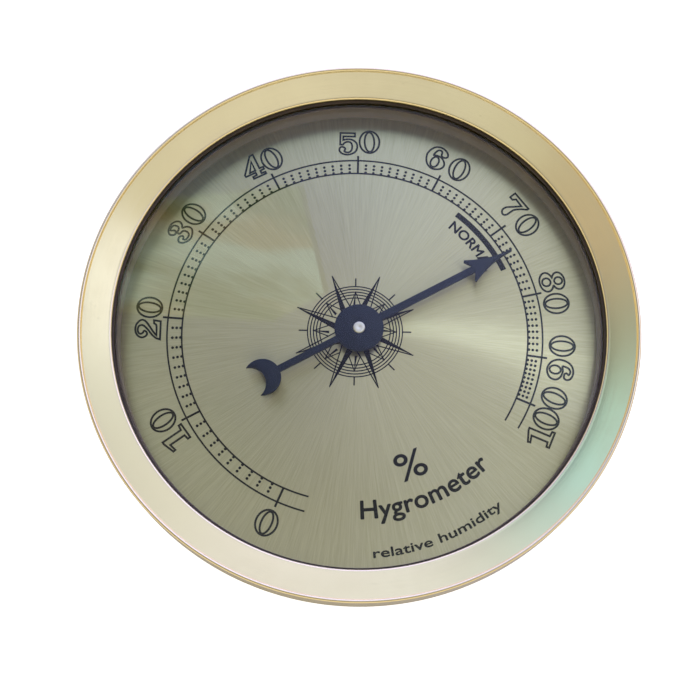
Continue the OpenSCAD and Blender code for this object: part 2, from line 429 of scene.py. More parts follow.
@dataclass(frozen=True)
class ClearGlass(Finish):
    """Thin flat glass: clear, with a mirror share that grows at glancing angles."""

    head_on: float = 0.02
    tint: Colour = (0.97, 0.985, 0.965)

    def dress(self, graph: Graph, shader: Signal) -> Signal:
        """Mixes a clear and a mirror shader by the angle of view, with faint smears."""
        vector = graph.spot()
        smear = graph.noise(vector, 160.0, 4.0, 0.6).ease(0.45, 0.9)
        facing = graph.node("ShaderNodeLayerWeight", {}, {"Blend": 0.5}, "Facing")
        mirror = self.head_on + (1 - self.head_on) * facing ** 5.0
        clear = graph.node("ShaderNodeBsdfTransparent", {}, {"Color": self.tint})
        gloss = graph.node("ShaderNodeBsdfAnisotropic", {}, {
            "Color": (1.0, 1.0, 1.0), "Roughness": smear * 0.02 + 0.004})
        graph.tree.nodes.remove(shader.socket.node)
        return graph.node("ShaderNodeMixShader", {}, {0: mirror, 1: clear, 2: gloss})


BEZEL_GOLD = TurnedMetal(
    "spun_gold", "bezel_gold", (0.86, 0.74, 0.47), 0.14, shade=(0.72, 0.55, 0.27), patina=0.12)
CASE_GOLD = TurnedMetal(
    "drawn_gold", "case_gold", (0.80, 0.66, 0.38), 0.3, shade=(0.55, 0.4, 0.18), patina=0.4)
COVER_BRASS = TurnedMetal(
    "stamped_brass", "cover_brass", (0.78, 0.62, 0.33), 0.33,
    shade=(0.5, 0.36, 0.15), patina=0.5, rings_per_mm=4.0)
DIAL_SUNRAY = SunrayMetal(
    "sunray_champagne", "dial_brushed", (0.70, 0.655, 0.415), 0.42, shade=(0.55, 0.505, 0.295))
SPACER_BRONZE = Lacquer(
    "dark_bronze", "spacer_bronze", (0.155, 0.11, 0.085), 0.5, 0.0,
    shade=(0.12, 0.092, 0.075), depth=0.0003)
GASKET_BLACK = Lacquer(
    "gasket_black", "gasket_rubber", (0.06, 0.045, 0.036), 0.6, 0.0,
    shade=(0.035, 0.03, 0.026), sheen=0.2)
LENS_CLEAR = ClearGlass("lens_clear", "lens_glass", (0.95, 0.97, 0.95))
PRINT_INK = Lacquer(
    "print_ink", "dial_brushed", (0.008, 0.008, 0.007), 0.5, 0.0,
    shade=(0.016, 0.016, 0.014), depth=0.0008, sheen=0.2)
POINTER_BLACK = Lacquer(
    "pointer_blue_black", "pointer_black", (0.006, 0.012, 0.026), 0.38, 0.0,
    shade=(0.012, 0.02, 0.038), depth=0.0006, sheen=0.28)
MOVEMENT_BRASS = PlainMetal(
    "movement_brass", "movement_brass", (0.8, 0.63, 0.32), 0.3, shade=(0.52, 0.36, 0.16))
SCREW_STEEL = PlainMetal("screw_steel", "screw_steel", (0.66, 0.66, 0.64), 0.26, shade=(0.4, 0.4, 0.4))
SPRING_STEEL = PlainMetal("spring_steel", "spring_steel", (0.62, 0.62, 0.62), 0.32, shade=(0.34, 0.35, 0.37))
ADJUSTER_BRASS = TurnedMetal(
    "adjuster_brass", "adjuster_brass", (0.82, 0.65, 0.33), 0.25, shade=(0.55, 0.38, 0.15), patina=0.3)
COIL_LAMINATE = PlainMetal("coil_laminate", "coil_laminate", (0.62, 0.36, 0.22), 0.4, shade=(0.42, 0.2, 0.1))
SPINDLE_METAL = TurnedMetal(
    "spindle_metal", "spindle_metal", (0.27, 0.22, 0.155), 0.5, shade=(0.16, 0.13, 0.09), patina=0.7)


# --------------------------------------------------------------------- meshes


def arc(x: float, y: float, radius: float, first: float, last: float, steps: int) -> list[Point]:
    """Returns points on an arc.

    Args:
        x: centre.
        y: centre.
        radius: radius.
        first: first angle in degrees.
        last: last angle in degrees.
        steps: number of steps.

    Returns:
        The points, both ends included.
    """
    angles = [math.radians(first + (last - first) * k / steps) for k in range(steps + 1)]
    return [(x + radius * math.cos(a), y + radius * math.sin(a)) for a in angles]


def smoothed(points: Sequence[Point], closed: bool = True, steps: int = 4) -> list[Point]:
    """Runs a Catmull-Rom curve through points.

    Args:
        points: the points.
        closed: joins the last to the first.
        steps: steps between two points.

    Returns:
        The denser points.
    """
    count = len(points)
    made: list[Point] = []
    for k in range(count if closed else count - 1):
        four = [
            points[(k + j) % count] if closed else points[min(max(k + j, 0), count - 1)]
            for j in (-1, 0, 1, 2)
        ]
        for step in range(steps):
            t = step / steps
            weights = (
                -t / 2 + t * t - t ** 3 / 2,
                1 - 2.5 * t * t + 1.5 * t ** 3,
                t / 2 + 2 * t * t - 1.5 * t ** 3,
                -t * t / 2 + t ** 3 / 2,
            )
            made.append(tuple(sum(w * p[axis] for w, p in zip(weights, four)) for axis in (0, 1)))
    if not closed:
        made.append(tuple(points[-1]))
    return made


def linked(name: str, data: bpy.types.ID) -> bpy.types.Object:
    """Puts a mesh, a curve, a light or a camera into the scene as an object."""
    made = bpy.data.objects.new(name, data)
    bpy.context.scene.collection.objects.link(made)
    return made


@contextmanager
def edited(mesh: bpy.types.Mesh, merge: float) -> Iterator[bmesh.types.BMesh]:
    """Opens a mesh, merges points nearer than so many millimetres, and writes it back."""
    work = bmesh.new()
    work.from_mesh(mesh)
    bmesh.ops.remove_doubles(work, verts=work.verts, dist=merge * MM)
    yield work
    work.to_mesh(mesh)
    work.free()


def closed_up(mesh: bpy.types.Mesh, merge: float = 0.0005, sharp: float = 32.0) -> None:
    """Merges doubles, turns faces outwards and shades smoothly up to an edge angle.

    Args:
        mesh: the mesh.
        merge: distance in millimetres under which points are one.
        sharp: edge angle in degrees from which an edge stays sharp.
    """
    with edited(mesh, merge) as work:
        bmesh.ops.recalc_face_normals(work, faces=work.faces)
    mesh.shade_smooth()
    mesh.set_sharp_from_angle(angle=math.radians(sharp))


def lathe(name: str, profile: Sequence[Point], segments: int = 256) -> bpy.types.Object:
    """Spins a closed profile about the spindle's axis.

    Args:
        name: the object's name.
        profile: radius and height of each corner, in millimetres.
        segments: facets around.

    Returns:
        The object.
    """
    points = [
        (r * math.cos(a) * MM, r * math.sin(a) * MM, z * MM)
        for a in (FULL_TURN * s / segments for s in range(segments))
        for r, z in profile
    ]
    count = len(profile)
    faces = [
        (
            s * count + k,
            (s + 1) % segments * count + k,
            (s + 1) % segments * count + (k + 1) % count,
            s * count + (k + 1) % count,
        )
        for s in range(segments)
        for k in range(count)
        if profile[k][0] > 0 or profile[(k + 1) % count][0] > 0
    ]
    mesh = bpy.data.meshes.new(name)
    mesh.from_pydata(points, [], faces)
    closed_up(mesh)
    return linked(name, mesh)


def evaluated(source: bpy.types.Object) -> bpy.types.Mesh:
    """Returns an object's mesh with its modifiers applied."""
    graph = bpy.context.evaluated_depsgraph_get()
    return bpy.data.meshes.new_from_object(source.evaluated_get(graph))


def baked(source: bpy.types.Object) -> bpy.types.Object:
    """Applies an object's modifiers by taking its evaluated mesh."""
    mesh = evaluated(source)
    source.modifiers.clear()
    source.data = mesh
    mesh.name = source.name
    return source


def meshed(curve: bpy.types.Curve) -> bpy.types.Mesh:
    """Turns a curve or a text into a mesh."""
    holder = linked("holder", curve)
    bpy.context.view_layer.update()
    mesh = evaluated(holder)
    bpy.data.objects.remove(holder)
    return mesh


def evened(piece: bpy.types.Object) -> bpy.types.Object:
    """Keeps flat faces flat next to rounded edges, by weighting normals with area."""
    even = piece.modifiers.new("even", "WEIGHTED_NORMAL")
    even.keep_sharp = True
    return baked(piece)


def settle(
    piece: bpy.types.Object, finish: Finish, body: Body, replaced: str | None = None
) -> bpy.types.Object:
    """Dresses a finished piece and gives it its body.

    Args:
        piece: the piece.
        finish: its finish.
        body: the body it rides on.
        replaced: the CAD node it stands for.

    Returns:
        The piece.
    """
    piece.data.materials.clear()
    piece.data.materials.append(finish.material())
    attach(piece, body.value)
    if replaced:
        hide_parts(replaced)
    LOG.info("%s on %s, %d faces", piece.name, body.value, len(piece.data.polygons))
    return piece


def eased(node: str, name: str, width: float) -> bpy.types.Object:
    """Copies a CAD node with merged faces and broken edges.

    Args:
        node: the CAD node.
        name: the copy's name.
        width: width of the broken edges in millimetres.

    Returns:
        The copy.
    """
    mesh = FRAME["nodes"][node].data.copy()
    mesh.name = name
    with edited(mesh, 0.0005) as work:
        bmesh.ops.dissolve_limit(work, angle_limit=math.radians(1.0), verts=work.verts, edges=work.edges)
    made = linked(name, mesh)
    edge = made.modifiers.new("edge", "BEVEL")
    edge.width = width * MM
    edge.segments = 2
    edge.limit_method = "ANGLE"
    edge.angle_limit = math.radians(40)
    edge.use_clamp_overlap = True
    baked(made)
    closed_up(made.data, sharp=50)
    return evened(made)


# ------------------------------------------------------------- geometry nodes


class Pattern:
    """A Geometry Nodes tree with named number inputs, used as a modifier once."""

    def __init__(self, name: str, finish: Finish, inputs: dict[str, float]) -> None:
        """Starts the tree.

        Args:
            name: the tree's name.
            finish: the finish of what it makes.
            inputs: its number inputs with their values.
        """
        self.tree = bpy.data.node_groups.new(name, "GeometryNodeTree")
        self.graph = Graph(self.tree)
        self.finish = finish
        self.values = inputs
        face = self.tree.interface
        face.new_socket("Geometry", in_out="INPUT", socket_type="NodeSocketGeometry")
        for key in inputs:
            face.new_socket(key, in_out="INPUT", socket_type="NodeSocketFloat")
        face.new_socket("Geometry", in_out="OUTPUT", socket_type="NodeSocketGeometry")
        self.inlet = self.tree.nodes.new("NodeGroupInput")

    def given(self, key: str) -> Signal:
        """Returns one of the tree's inputs."""
        return Signal(self.graph, self.inlet.outputs[key])

    def spread(self, points: Signal, shape: Signal, **more: Any) -> None:
        """Ends the tree with a shape on every point."""
        self.finished(self.graph.node(
            "GeometryNodeInstanceOnPoints", {}, {"Points": points, "Instance": shape, **more}))

    def finished(self, shape: Signal) -> None:
        """Ends the tree with real geometry in the finish."""
        real = self.graph.node("GeometryNodeRealizeInstances", {}, {0: shape})
        dressed = self.graph.node("GeometryNodeSetMaterial", {}, {
            "Geometry": real, "Material": self.finish.material()})
        self.graph.node("NodeGroupOutput", {}, {0: dressed})

    def run(self, source: bpy.types.Object) -> bpy.types.Object:
        """Runs the tree on an object and leaves a plain mesh in it."""
        modifier = source.modifiers.new(self.tree.name, "NODES")
        modifier.node_group = self.tree
        for item in self.tree.interface.items_tree:
            if item.in_out == "INPUT" and item.name in self.values:
                modifier[item.identifier] = self.values[item.name]
        return baked(source)


def seeds(name: str, places: Sequence[Place], turns: Sequence[float]) -> bpy.types.Object:
    """Makes an object of loose points for a pattern.

    Args:
        name: the object's name.
        places: the points, in metres.
        turns: the turn about Z at each point, in radians.

    Returns:
        The object.
    """
    mesh = bpy.data.meshes.new(name)
    mesh.from_pydata(list(places), [], [])
    mesh.attributes.new("turn", "FLOAT", "POINT").data.foreach_set("value", list(turns))
    return linked(name, mesh)


# ------------------------------------------------------------------- the case


@dataclass
class Case:
    """Bezel, gasket, lens, spacer and drawn case."""

    rim: float = 25.4
    rim_height: float = 3.0
    sight: float = 22.45
    lip: float = 2.15
    sheet: float = 0.4
    bead: float = 0.18
    groove_depth: float = 0.28
    crown: float = 0.012
    crimp: float = 23.25
    bend: float = 0.35
    body: float = 22.8
    depth: float = 9.5
    flange: float = 20.3
    lens: float = 24.7
    bore: float = 22.35
    lens_low: float = 0.75
    lens_top: float = 1.45
    spacer: float = 22.15
    gasket: float = 22.28
    dial_top: float = -1.15

    def build(self) -> None:
        """Makes every ring of the case."""
        settle(self.bezel(), BEZEL_GOLD, Body.CASE, "bezel")
        settle(self.drawn_case(), CASE_GOLD, Body.CASE, "case_body")
        gasket = self.rounded_ring(
            "gasket_line", self.lens, self.gasket, self.lens_top, self.lip - self.sheet, 0.06)
        settle(gasket, GASKET_BLACK, Body.CASE, "lens_gasket")
        wall = self.rounded_ring("spacer_wall", self.bore, self.spacer, self.dial_top, self.lens_low, 0.04)
        settle(wall, SPACER_BRONZE, Body.CASE, "spacer_ring")
        settle(self.sight_glass(), LENS_CLEAR, Body.CASE, "lens")

    def bezel(self) -> bpy.types.Object:
        """Spun ring: straight side, bead on the rim, shallow groove, face with a slight crown."""
        bead_x, bead_z = self.rim - self.bead, self.rim_height - self.bead
        edge = self.sheet / 2
        inner = self.sight + edge
        outer = bead_x - self.bead - 0.05
        high, low = self.rim_height - self.groove_depth, self.lip
        face = [
            (outer + (inner - outer) * t, high + (low - high) * t + self.crown * 4 * t * (1 - t))
            for t in (k / 16 for k in range(17))
        ]
        skirt = self.rim - self.sheet
        return lathe("bezel_ring", [
            *arc(self.rim - 0.2, 0.2, 0.2, -90, 0, 8),
            *arc(bead_x, bead_z, self.bead, 0, 160, 16),
            *face[:-1],
            *arc(inner, low - edge, edge, 90, 270, 16),
            (skirt, low - self.sheet),
            (skirt, self.bend),
            (self.crimp, self.bend),
            *arc(self.crimp + 0.12, 0.12, 0.12, 180, 270, 5),
        ], 320)

    def drawn_case(self) -> bpy.types.Object:
        """Drawn cup: brim under the lens, straight wall, flange turned in at the rear."""
        bore = self.body - self.sheet
        rear = -self.depth
        return lathe("case_shell", [
            *arc(self.flange + 0.1, rear + 0.1, 0.1, 180, 270, 4),
            *arc(self.body - self.bend, rear + self.bend, self.bend, -90, 0, 10),
            *arc(self.body + self.bend, 0, self.bend, 180, 90, 10),
            (self.lens, self.bend),
            (self.lens, self.lens_low),
            (bore, self.lens_low),
            (bore, rear + self.sheet),
            *arc(self.flange + 0.1, rear + self.sheet - 0.1, 0.1, 90, 180, 4),
        ], 320)

    def rounded_ring(
        self, name: str, outer: float, inner: float, low: float, high: float, ease: float
    ) -> bpy.types.Object:
        """Ring with four rounded corners."""
        return lathe(name, [
            *arc(outer - ease, low + ease, ease, -90, 0, 4),
            *arc(outer - ease, high - ease, ease, 0, 90, 4),
            *arc(inner + ease, high - ease, ease, 90, 180, 4),
            *arc(inner + ease, low + ease, ease, 180, 270, 4),
        ])

    def sight_glass(self) -> bpy.types.Object:
        """Flat lens with ground edges."""
        ground = 0.12
        return lathe("sight_glass", [
            (0, self.lens_low), (self.lens - ground, self.lens_low), (self.lens, self.lens_low + ground),
            (self.lens, self.lens_top - ground), (self.lens - ground, self.lens_top), (0, self.lens_top),
        ])


# ------------------------------------------------------------------- the dial


@dataclass
class Sheet:
    """Flat print gathered as polygons about the print's own centre."""

    name: str
    centre: Point
    level: float
    thickness: float = INK
    points: list[Point] = field(default_factory=list)
    faces: list[tuple[int, ...]] = field(default_factory=list)

    def polygon(self, corners: Sequence[Point]) -> None:
        """Adds one filled polygon."""
        first = len(self.points)
        self.points.extend(corners)
        self.faces.append(tuple(range(first, first + len(corners))))

    def ribbon(self, line: Sequence[Point], width: float, closed: bool = False) -> None:
        """Adds a stroke of even width along a line.

        Args:
            line: the stroke's centre line.
            width: its width.
            closed: joins the last point to the first.
        """
        count = len(line)
        left: list[Point] = []
        right: list[Point] = []
        for k, (x, y) in enumerate(line):
            before = line[k - 1] if k or closed else line[0]
            after = line[(k + 1) % count] if k < count - 1 or closed else line[-1]
            first = Vector((x - before[0], y - before[1]))
            second = Vector((after[0] - x, after[1] - y))
            first = first.normalized() if first.length > 1e-9 else second.normalized()
            second = second.normalized() if second.length > 1e-9 else first
            middle = first + second
            middle = middle.normalized() if middle.length > 1e-6 else first
            reach = width / 2 / max(0.45, middle.dot(first))
            side = Vector((-middle.y, middle.x)) * reach
            left.append((x + side.x, y + side.y))
            right.append((x - side.x, y - side.y))
        for k in range(count if closed else count - 1):
            after = (k + 1) % count
            self.polygon((left[k], right[k], right[after], left[after]))

    def mesh_in(self, mesh: bpy.types.Mesh, move: Any) -> None:
        """Adds a flat mesh, moving each of its points.

        Args:
            mesh: the flat mesh.
            move: takes x and y and gives the point on the sheet.
        """
        first = len(self.points)
        self.points.extend(move(v.co.x, v.co.y) for v in mesh.vertices)
        self.faces.extend(tuple(first + i for i in p.vertices) for p in mesh.polygons)

    def made(self, centred: bool = True) -> bpy.types.Object:
        """Returns the print as an object with a little thickness."""
        dx, dy = self.centre if centred else (0.0, 0.0)
        mesh = bpy.data.meshes.new(self.name)
        mesh.from_pydata(
            [((x + dx) * MM, (y + dy) * MM, self.level * MM) for x, y in self.points], [], self.faces)
        with edited(mesh, 0.0004) as work:
            for face in work.faces:
                face.normal_update()
                if face.normal.z < 0:
                    face.normal_flip()
        piece = linked(self.name, mesh)
        depth = piece.modifiers.new("ink", "SOLIDIFY")
        depth.thickness = self.thickness * MM
        depth.offset = 1.0
        return baked(piece)


def bearing(angle: float, radius: float) -> Point:
    """Returns the point at an angle clockwise from the dial's upright."""
    turn = math.radians(angle)
    return radius * math.sin(turn), radius * math.cos(turn)


def oval(x: float, y: float, half_width: float, half_height: float, steps: int = 36) -> list[Point]:
    """Returns an ellipse."""
    circle = arc(0, 0, 1, 0, 360 * (1 - 1 / steps), steps - 1)
    return [(x + half_width * px, y + half_height * py) for px, py in circle]


@dataclass
class Numerals:
    """Open-faced serif figures, each a set of closed outlines about its own middle."""

    stroke: float = 0.19

    def outlines(self) -> dict[str, list[list[Point]]]:
        """Returns the outlines of every figure in millimetres."""
        upper, lower = oval(0.06, 0.59, 0.85, 0.59, 48), oval(0.03, -0.54, 0.95, 0.65, 48)
        eight = [p for p in upper if not self.inside(p, 0.03, -0.54, 0.95, 0.65)]
        eight_low = [p for p in lower if not self.inside(p, 0.06, 0.59, 0.85, 0.59)]
        eight.sort(key=lambda p: math.atan2(-(p[0] - 0.06), p[1] - 0.59))
        eight_low.sort(key=lambda p: math.atan2(p[0] - 0.03, -(p[1] + 0.54)))
        return {
            "0": [oval(0, 0, 0.97, 1.18), oval(0, 0, 0.47, 1.05)],
            "1": [[(-.72, -1.15), (.78, -1.15), (.78, -.9), (.32, -.83), (.32, 1.15), (.1, 1.15),
                (-.95, .82), (-.92, .6), (-.28, .72), (-.28, -.83), (-.72, -.9)]],
            "2": [
                smoothed([(-.92, -.81), (-.59, -.43), (-.11, -.05), (.22, .27), (.37, .54), (.27, .84),
                (-.05, .93), (-.35, .86), (-.49, .67), (-.40, .46), (-.19, .32), (-.30, .11),
                (-.54, .05), (-.76, .24), (-.84, .54), (-.70, .86), (-.38, 1.09), (0, 1.155),
                (.43, 1.08), (.78, .81), (.89, .54), (.78, .27), (.54, .05), (.16, -.22),
                (-.27, -.51), (-.65, -.84)], False)
                + smoothed([(0, -.82), (.37, -.78), (.54, -.57)], False)
                + [(.84, -.55), (.73, -1.18), (-1.04, -1.18)]],
            "3": [smoothed([(-.78, .70), (-.54, 1.0), (-.11, 1.16), (.32, 1.145), (.675, .92), (.81, .62),
                (.70, .32), (.46, .08), (.73, -.135), (.89, -.46), (.81, -.81), (.38, -1.11),
                (-.05, -1.21), (-.49, -1.08), (-.81, -.81), (-.91, -.54), (-.76, -.32),
                (-.49, -.24), (-.24, -.38), (-.27, -.57), (-.46, -.675), (-.35, -.89),
                (0, -.92), (.27, -.81), (.37, -.49), (.22, -.16), (-.19, -.065), (-.205, .19),
                (.19, .32), (.31, .59), (.16, .92), (-.16, .97), (-.40, .86), (-.19, .54),
                (-.27, .32), (-.49, .27), (-.70, .43)])],
            "4": [[(.27, 1.21), (.62, 1.21), (.59, -.38), (.97, -.38), (.97, -.63), (.57, -.65), (.55, -.94),
                (.95, -.97), (.95, -1.17), (-.35, -1.17), (-.35, -.95), (.05, -.92), (.05, -.65),
                (-.97, -.65), (-1.0, -.46)],
                [(.16, .60), (.13, -.43), (-.46, -.43)]],
            "5": [[(-.78, 1.12), (.65, 1.12), (.65, .76), (-.49, .76)]
                + smoothed([(-.49, .36), (-.05, .46), (.43, .38), (.81, .05), (.89, -.38), (.76, -.81),
                (.43, -1.08), (-.05, -1.21), (-.54, -1.11), (-.81, -.86), (-.84, -.59),
                (-.70, -.40), (-.46, -.40), (-.27, -.57), (-.35, -.86), (0, -.97),
                (.30, -.78), (.40, -.38), (.30, .05), (-.02, .19), (-.35, .08)], False)
                + [(-.52, -.14), (-.78, -.14)]],
            "6": [smoothed([(.50, .20), (.86, -.11), (.98, -.49), (.81, -.86), (.43, -1.11), (-.03, -1.20),
                (-.54, -.97), (-.86, -.54), (-1.02, 0), (-.92, .54), (-.59, 1.03), (-.05, 1.23),
                (.49, 1.11), (.81, .86), (.89, .57), (.66, .38), (.35, .42), (.26, .62),
                (.2, .84), (0, .92), (-.25, .78), (-.38, .42), (-.40, .16), (-.15, .26),
                (.2, .28)]),
                oval(0, -.45, .38, .57)],
            "7": [[(-1.0, 1.13), (1.03, 1.13)]
                + smoothed([(1.03, .97), (.62, .51), (.30, -.05), (.26, -.40), (.26, -.85), (.14, -1.13),
                (-.08, -1.2), (-.32, -1.05), (-.41, -.80), (-.35, -.45), (0, .10),
                (.42, .75)], False)
                + smoothed([(-.45, .80), (-.62, .50)], False) + [(-.97, .48)]],
            "8": [eight + eight_low, oval(.06, .59, .36, .38, 24), oval(.03, -.55, .40, .40, 24)],
            "9": [smoothed([(-.95, .54), (-.81, .92), (-.38, 1.19), (.11, 1.22), (.65, .95), (.95, .46),
                (1.0, 0), (.86, -.59), (.49, -1.03), (-.11, -1.19), (-.65, -1.03),
                (-.86, -.70), (-.73, -.40), (-.38, -.38), (-.22, -.57), (-.35, -.80),
                (-.05, -.92), (.25, -.75), (.38, -.40), (.38, -.15), (0, -.22),
                (-.30, -.18), (-.65, -.05), (-.92, .25)]),
                oval(0, .50, .40, .52)],
        }

    @staticmethod
    def inside(point: Point, x: float, y: float, half_width: float, half_height: float) -> bool:
        """Tells whether a point is inside an ellipse."""
        return ((point[0] - x) / half_width) ** 2 + ((point[1] - y) / half_height) ** 2 < 1

    def draw(
        self, sheet: Sheet, tick: float, figures: Sequence[tuple[str, float, float, float]], flipped: bool
    ) -> None:
        """Draws a number at a tick.

        Args:
            sheet: the print.
            tick: the tick's bearing in degrees.
            figures: each figure with its place along the scale, radius and tilt.
            flipped: the number's top points to the centre.
        """
        outlines = self.outlines()
        turn = math.radians(tick)
        way = -1.0 if flipped else 1.0
        out = Vector((math.sin(turn), math.cos(turn)))
        right = Vector((math.cos(turn), -math.sin(turn))) * way
        for figure, along, radius, tilt in figures:
            lean = math.radians(tilt)
            across = right * math.cos(lean) + out * way * math.sin(lean)
            up = out * way * math.cos(lean) - right * math.sin(lean)
            middle = right * along + out * radius
            for outline in outlines[figure]:
                line = [middle + across * x + up * y for x, y in outline]
                sheet.ribbon([(p.x, p.y) for p in line], self.stroke, True)


@dataclass
class Dial:
    """Sunray dial plate and everything printed on it."""

    plate: float = 22.3
    hole: float = 1.9
    low: float = -1.55
    top: float = -1.15
    centre: Point = (-0.345, 0.135)
    line: float = 0.16
    inner: float = 16.13
    outer: float = 17.5
    reach: float = 143.5
    tick_low: float = 16.1
    tick_high: float = 18.0
    tick_width: float = 0.2
    dot: float = 0.135
    dot_rings: tuple[float, ...] = (16.25, 16.62, 17.0)
    columns: int = 9
    band: Point = (61.1, 88.0)
    band_radius: float = 15.375
    band_width: float = 0.55
    rose_line: float = 0.11
    rose_taper: float = 0.135
    rose_large: Point = (5.9, 1.75)
    rose_small: Point = (3.85, 2.4)
    rose_dash: Point = (4.43, 5.25)
    rose_rings: tuple[float, ...] = (4.43, 4.155, 3.875, 3.595, 3.29)
    bearings: tuple[float, ...] = (-135, -97, -64.2, -34.5, -5.2, 22.6, 49.1, 75.0, 99.2, 119.8, 135)
    numbers: tuple[tuple[int, bool, tuple[tuple[str, float, float, float], ...]], ...] = (
        (0, False, (("0", .10, 19.58, 0),)),
        (1, False, (("1", -1.2, 19.22, 7.5), ("0", .81, 19.46, 8))),
        (2, False, (("2", -1.25, 19.27, 4.5), ("0", .87, 19.34, -5))),
        (3, False, (("3", -1.07, 19.39, 0), ("0", 1.14, 19.42, 0))),
        (4, False, (("4", -1.38, 19.42, 0), ("0", .70, 19.42, 4))),
        (5, False, (("5", -1.0, 19.33, 0), ("0", 1.08, 19.52, 3))),
        (6, False, (("6", -1.14, 19.47, 0), ("0", 1.35, 19.4, 2))),
        (7, False, (("7", -1.07, 19.72, 0), ("0", 1.2, 19.7, 4))),
        (8, False, (("8", -.94, 19.28, -2), ("0", 1.32, 19.1, -8.6))),
        (9, True, (("9", -.98, 19.34, 0), ("0", 1.38, 19.28, 5))),
        (10, True, (("1", -2.45, 19.4, 0), ("0", -.74, 19.34, 0), ("0", 1.38, 19.34, 0))),
    )

    @property
    def ink_level(self) -> float:
        """Height of the underside of the print."""
        return self.top + 0.002

    def build(self) -> None:
        """Makes the plate and its print."""
        edge = 0.05
        plate = lathe("dial_disc", [
            (self.hole, self.low), (self.plate - edge, self.low), (self.plate, self.low + edge),
            (self.plate, self.top - edge), (self.plate - edge, self.top),
            (self.hole + edge, self.top), (self.hole, self.top - edge),
        ], 320)
        settle(plate, DIAL_SUNRAY, Body.CASE, "dial_plate")
        for ink in (self.scale_lines, self.scale_ticks, self.scale_dots,
                    self.figures, self.compass_rose, self.lettering):
            settle(ink(), PRINT_INK, Body.CASE)

    def sheet(self, name: str) -> Sheet:
        """Starts a print on the dial."""
        return Sheet(name, self.centre, self.ink_level)

    def scale_lines(self) -> bpy.types.Object:
        """Two concentric lines and the thick band of the normal range."""
        sheet = self.sheet("scale_lines")
        for radius in (self.inner, self.outer):
            angles = (-self.reach + 2 * self.reach * k / 240 for k in range(241))
            sheet.ribbon([bearing(a, radius) for a in angles], self.line)
        first, last = self.band
        angles = (first + (last - first) * k / 40 for k in range(41))
        sheet.ribbon([bearing(a, self.band_radius) for a in angles], self.band_width)
        return sheet.made()

    def scale_ticks(self) -> bpy.types.Object:
        """One tick at each ten, by a pattern that sets a bar on every point."""
        length = self.tick_high - self.tick_low
        pattern = Pattern("tick_pattern", PRINT_INK, {
            "Length": length * MM, "Width": self.tick_width * MM, "Depth": INK * MM})
        graph = pattern.graph
        bar = graph.node("GeometryNodeMeshCube", {}, {
            "Size": graph.joined(pattern.given("Width"), pattern.given("Length"), pattern.given("Depth"))})
        turn = graph.node("GeometryNodeInputNamedAttribute", {"data_type": "FLOAT"}, {"Name": "turn"})
        pattern.spread(pattern.given("Geometry"), bar, Rotation=graph.joined(0.0, 0.0, turn))
        middle = (self.tick_low + self.tick_high) / 2
        places = [self.on_dial(bearing(a, middle), 0.006) for a in self.bearings]
        return pattern.run(seeds("scale_ticks", places, [-math.radians(a) for a in self.bearings]))

    def scale_dots(self) -> bpy.types.Object:
        """Three rings of dots between the tens, by a pattern that sets a dot on every point."""
        pattern = Pattern("dot_pattern", PRINT_INK, {"Radius": self.dot * MM, "Depth": INK * MM})
        graph = pattern.graph
        dot = graph.node("GeometryNodeMeshCylinder", {"fill_type": "NGON"}, {
            "Vertices": 12, "Radius": pattern.given("Radius"), "Depth": pattern.given("Depth")})
        pattern.spread(pattern.given("Geometry"), dot)
        places = []
        for first, last in zip(self.bearings, self.bearings[1:]):
            for column in range(1, self.columns + 1):
                angle = first + (last - first) * column / (self.columns + 1)
                places += [self.on_dial(bearing(angle, r), 0.0065) for r in self.dot_rings]
        return pattern.run(seeds("scale_dots", places, [0.0] * len(places)))

    def on_dial(self, point: Point, rise: float) -> Place:
        """Returns a print's point in metres, a little over the plate."""
        x, y = (p + c for p, c in zip(point, self.centre))
        return x * MM, y * MM, (self.ink_level + rise) * MM

    def figures(self) -> bpy.types.Object:
        """The numbers from 0 to 100."""
        sheet = self.sheet("scale_figures")
        numerals = Numerals()
        for ten, flipped, figures in self.numbers:
            numerals.draw(sheet, self.bearings[ten], figures, flipped)
        return sheet.made()

    def compass_rose(self) -> bpy.types.Object:
        """One eighth of the rose, repeated by a pattern around the print's centre."""
        sheet = self.sheet("compass_rose")
        fine = self.rose_line
        tip, root = self.rose_large
        small_tip, small_root = self.rose_small
        half = self.rose_taper * (tip - root)
        sheet.polygon([(0, tip), (-half, root), (0, root)])
        sheet.ribbon([(0, tip), (half, root)], fine)
        sheet.ribbon([(0, tip), (-half, root)], fine * 0.6)
        mid = math.radians(22.5)

        def on_mid(x: float, y: float) -> Point:
            """Turns a point by half a step of the rose."""
            return x * math.cos(mid) + y * math.sin(mid), y * math.cos(mid) - x * math.sin(mid)

        sheet.polygon([on_mid(0, small_tip), on_mid(-0.25, small_root), on_mid(0, small_root)])
        sheet.ribbon([on_mid(0.55, small_root), on_mid(0, small_tip), on_mid(-0.55, small_root)], fine)
        sheet.ribbon([on_mid(0, radius) for radius in self.rose_dash], 0.13)
        for radius in self.rose_rings:
            sheet.ribbon([bearing(45 * k / 10, radius) for k in range(11)], fine)
        sector = sheet.made(centred=False)
        pattern = Pattern("rose_pattern", PRINT_INK, {
            "Count": 8.0, "Centre X": self.centre[0] * MM, "Centre Y": self.centre[1] * MM})
        graph = pattern.graph
        count = pattern.given("Count")
        points = graph.node("GeometryNodeMeshLine", {}, {"Count": count, "Offset": (0.0, 0.0, 0.0)})
        place = graph.joined(pattern.given("Centre X"), pattern.given("Centre Y"), 0.0)
        points = graph.node("GeometryNodeSetPosition", {}, {"Geometry": points, "Position": place})
        step = graph.node("GeometryNodeInputIndex") * FULL_TURN / count
        pattern.spread(points, pattern.given("Geometry"), Rotation=graph.joined(0.0, 0.0, step))
        return pattern.run(sector)

